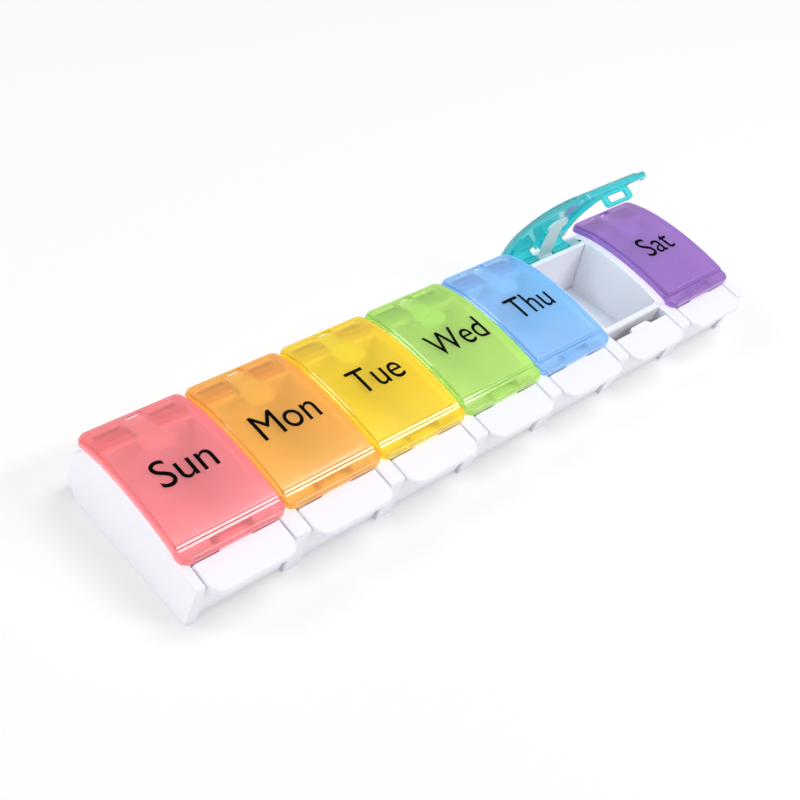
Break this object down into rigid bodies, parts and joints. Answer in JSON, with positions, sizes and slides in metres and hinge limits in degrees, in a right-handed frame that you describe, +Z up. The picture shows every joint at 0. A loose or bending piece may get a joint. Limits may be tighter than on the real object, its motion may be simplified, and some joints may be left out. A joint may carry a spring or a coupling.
{
  "type": "weekly pill organizer",
  "caption": "Pill organizer with a well for each day of the week, arched translucent lids on a common hinge rod, and front push buttons that release them.",
  "frame": {"origin": "centre of the bounding box's underside, on the table", "axes": "+X along the row of days from Sunday to Saturday, +Y from the buttons back to the hinge, +Z up"},
  "size_m": [0.2212, 0.0601, 0.0557],
  "materials": {
    "white_plastic": "satin white injection moulding",
    "leaf_plastic": "natural, slightly milky plastic",
    "rod_steel": "drawn wire",
    "spring_steel": "spring wire",
    "lid_sun_plastic": "translucent tinted plastic, smooth",
    "lid_mon_plastic": "translucent tinted plastic, smooth",
    "lid_tue_plastic": "translucent tinted plastic, smooth",
    "lid_wed_plastic": "translucent tinted plastic, smooth",
    "lid_thu_plastic": "translucent tinted plastic, smooth",
    "lid_fri_plastic": "translucent tinted plastic, smooth",
    "lid_sat_plastic": "translucent tinted plastic, smooth"
  },
  "bodies": {
    "base": {"base_tray": "white_plastic", "rear_rail": "white_plastic", "hinge_rod": "rod_steel", "button_spring_sun": "spring_steel", "button_spring_mon": "spring_steel", "button_spring_tue": "spring_steel", "button_spring_wed": "spring_steel", "button_spring_thu": "spring_steel", "button_spring_fri": "spring_steel", "button_spring_sat": "spring_steel"},
    "lid_sun": {"lid_sun": "lid_sun_plastic"},
    "leaf_spring_sun": {"leaf_spring_sun": "leaf_plastic"},
    "button_sun": {"button_sun": "white_plastic"},
    "lid_mon": {"lid_mon": "lid_mon_plastic"},
    "leaf_spring_mon": {"leaf_spring_mon": "leaf_plastic"},
    "button_mon": {"button_mon": "white_plastic"},
    "lid_tue": {"lid_tue": "lid_tue_plastic"},
    "leaf_spring_tue": {"leaf_spring_tue": "leaf_plastic"},
    "button_tue": {"button_tue": "white_plastic"},
    "lid_wed": {"lid_wed": "lid_wed_plastic"},
    "leaf_spring_wed": {"leaf_spring_wed": "leaf_plastic"},
    "button_wed": {"button_wed": "white_plastic"},
    "lid_thu": {"lid_thu": "lid_thu_plastic"},
    "leaf_spring_thu": {"leaf_spring_thu": "leaf_plastic"},
    "button_thu": {"button_thu": "white_plastic"},
    "lid_fri": {"lid_fri": "lid_fri_plastic"},
    "leaf_spring_fri": {"leaf_spring_fri": "leaf_plastic"},
    "button_fri": {"button_fri": "white_plastic"},
    "lid_sat": {"lid_sat": "lid_sat_plastic"},
    "leaf_spring_sat": {"leaf_spring_sat": "leaf_plastic"},
    "button_sat": {"button_sat": "white_plastic"}
  },
  "joints": [
    {"name": "lid_sun_hinge", "type": "hinge", "parent": "base", "child": "lid_sun", "pos_m": [-0.0945, 0.0226, 0.0161], "axis": [-1, 0, 0], "range_deg": [0, 62]},
    {"name": "leaf_spring_sun_swing", "type": "hinge", "parent": "base", "child": "leaf_spring_sun", "pos_m": [-0.0945, 0.0226, 0.0161], "axis": [-1, 0, 0], "range_deg": [0, 58.9]},
    {"name": "button_sun_press", "type": "hinge", "parent": "base", "child": "button_sun", "pos_m": [-0.0945, -0.019, 0.005], "axis": [1, 0, 0], "range_deg": [0, 9], "stiffness_Nm_per_rad": 0.05, "springref_deg": -11.46, "deforming": ["button_spring_sun"]},
    {"name": "lid_mon_hinge", "type": "hinge", "parent": "base", "child": "lid_mon", "pos_m": [-0.063, 0.0226, 0.0161], "axis": [-1, 0, 0], "range_deg": [0, 62]},
    {"name": "leaf_spring_mon_swing", "type": "hinge", "parent": "base", "child": "leaf_spring_mon", "pos_m": [-0.063, 0.0226, 0.0161], "axis": [-1, 0, 0], "range_deg": [0, 58.9]},
    {"name": "button_mon_press", "type": "hinge", "parent": "base", "child": "button_mon", "pos_m": [-0.063, -0.019, 0.005], "axis": [1, 0, 0], "range_deg": [0, 9], "stiffness_Nm_per_rad": 0.05, "springref_deg": -11.46, "deforming": ["button_spring_mon"]},
    {"name": "lid_tue_hinge", "type": "hinge", "parent": "base", "child": "lid_tue", "pos_m": [-0.0315, 0.0226, 0.0161], "axis": [-1, 0, 0], "range_deg": [0, 62]},
    {"name": "leaf_spring_tue_swing", "type": "hinge", "parent": "base", "child": "leaf_spring_tue", "pos_m": [-0.0315, 0.0226, 0.0161], "axis": [-1, 0, 0], "range_deg": [0, 58.9]},
    {"name": "button_tue_press", "type": "hinge", "parent": "base", "child": "button_tue", "pos_m": [-0.0315, -0.019, 0.005], "axis": [1, 0, 0], "range_deg": [0, 9], "stiffness_Nm_per_rad": 0.05, "springref_deg": -11.46, "deforming": ["button_spring_tue"]},
    {"name": "lid_wed_hinge", "type": "hinge", "parent": "base", "child": "lid_wed", "pos_m": [0, 0.0226, 0.0161], "axis": [-1, 0, 0], "range_deg": [0, 62]},
    {"name": "leaf_spring_wed_swing", "type": "hinge", "parent": "base", "child": "leaf_spring_wed", "pos_m": [0, 0.0226, 0.0161], "axis": [-1, 0, 0], "range_deg": [0, 58.9]},
    {"name": "button_wed_press", "type": "hinge", "parent": "base", "child": "button_wed", "pos_m": [0, -0.019, 0.005], "axis": [1, 0, 0], "range_deg": [0, 9], "stiffness_Nm_per_rad": 0.05, "springref_deg": -11.46, "deforming": ["button_spring_wed"]},
    {"name": "lid_thu_hinge", "type": "hinge", "parent": "base", "child": "lid_thu", "pos_m": [0.0315, 0.0226, 0.0161], "axis": [-1, 0, 0], "range_deg": [0, 62]},
    {"name": "leaf_spring_thu_swing", "type": "hinge", "parent": "base", "child": "leaf_spring_thu", "pos_m": [0.0315, 0.0226, 0.0161], "axis": [-1, 0, 0], "range_deg": [0, 58.9]},
    {"name": "button_thu_press", "type": "hinge", "parent": "base", "child": "button_thu", "pos_m": [0.0315, -0.019, 0.005], "axis": [1, 0, 0], "range_deg": [0, 9], "stiffness_Nm_per_rad": 0.05, "springref_deg": -11.46, "deforming": ["button_spring_thu"]},
    {"name": "lid_fri_hinge", "type": "hinge", "parent": "base", "child": "lid_fri", "pos_m": [0.063, 0.0226, 0.0161], "axis": [-1, 0, 0], "range_deg": [-62, 0], "stiffness_Nm_per_rad": 0.02, "springref_deg": 20.05},
    {"name": "leaf_spring_fri_swing", "type": "hinge", "parent": "base", "child": "leaf_spring_fri", "pos_m": [0.063, 0.0226, 0.0161], "axis": [-1, 0, 0], "range_deg": [-58.9, 0]},
    {"name": "button_fri_press", "type": "hinge", "parent": "base", "child": "button_fri", "pos_m": [0.063, -0.019, 0.005], "axis": [1, 0, 0], "range_deg": [0, 9], "stiffness_Nm_per_rad": 0.05, "springref_deg": -11.46, "deforming": ["button_spring_fri"]},
    {"name": "lid_sat_hinge", "type": "hinge", "parent": "base", "child": "lid_sat", "pos_m": [0.0945, 0.0226, 0.0161], "axis": [-1, 0, 0], "range_deg": [0, 62]},
    {"name": "leaf_spring_sat_swing", "type": "hinge", "parent": "base", "child": "leaf_spring_sat", "pos_m": [0.0945, 0.0226, 0.0161], "axis": [-1, 0, 0], "range_deg": [0, 58.9]},
    {"name": "button_sat_press", "type": "hinge", "parent": "base", "child": "button_sat", "pos_m": [0.0945, -0.019, 0.005], "axis": [1, 0, 0], "range_deg": [0, 9], "stiffness_Nm_per_rad": 0.05, "springref_deg": -11.46, "deforming": ["button_spring_sat"]}
  ],
  "couplings": [
    {"joint": "leaf_spring_sun_swing", "follows": "lid_sun_hinge", "ratio": 0.95},
    {"joint": "leaf_spring_mon_swing", "follows": "lid_mon_hinge", "ratio": 0.95},
    {"joint": "leaf_spring_tue_swing", "follows": "lid_tue_hinge", "ratio": 0.95},
    {"joint": "leaf_spring_wed_swing", "follows": "lid_wed_hinge", "ratio": 0.95},
    {"joint": "leaf_spring_thu_swing", "follows": "lid_thu_hinge", "ratio": 0.95},
    {"joint": "leaf_spring_fri_swing", "follows": "lid_fri_hinge", "ratio": 0.95},
    {"joint": "leaf_spring_sat_swing", "follows": "lid_sat_hinge", "ratio": 0.95}
  ]
}
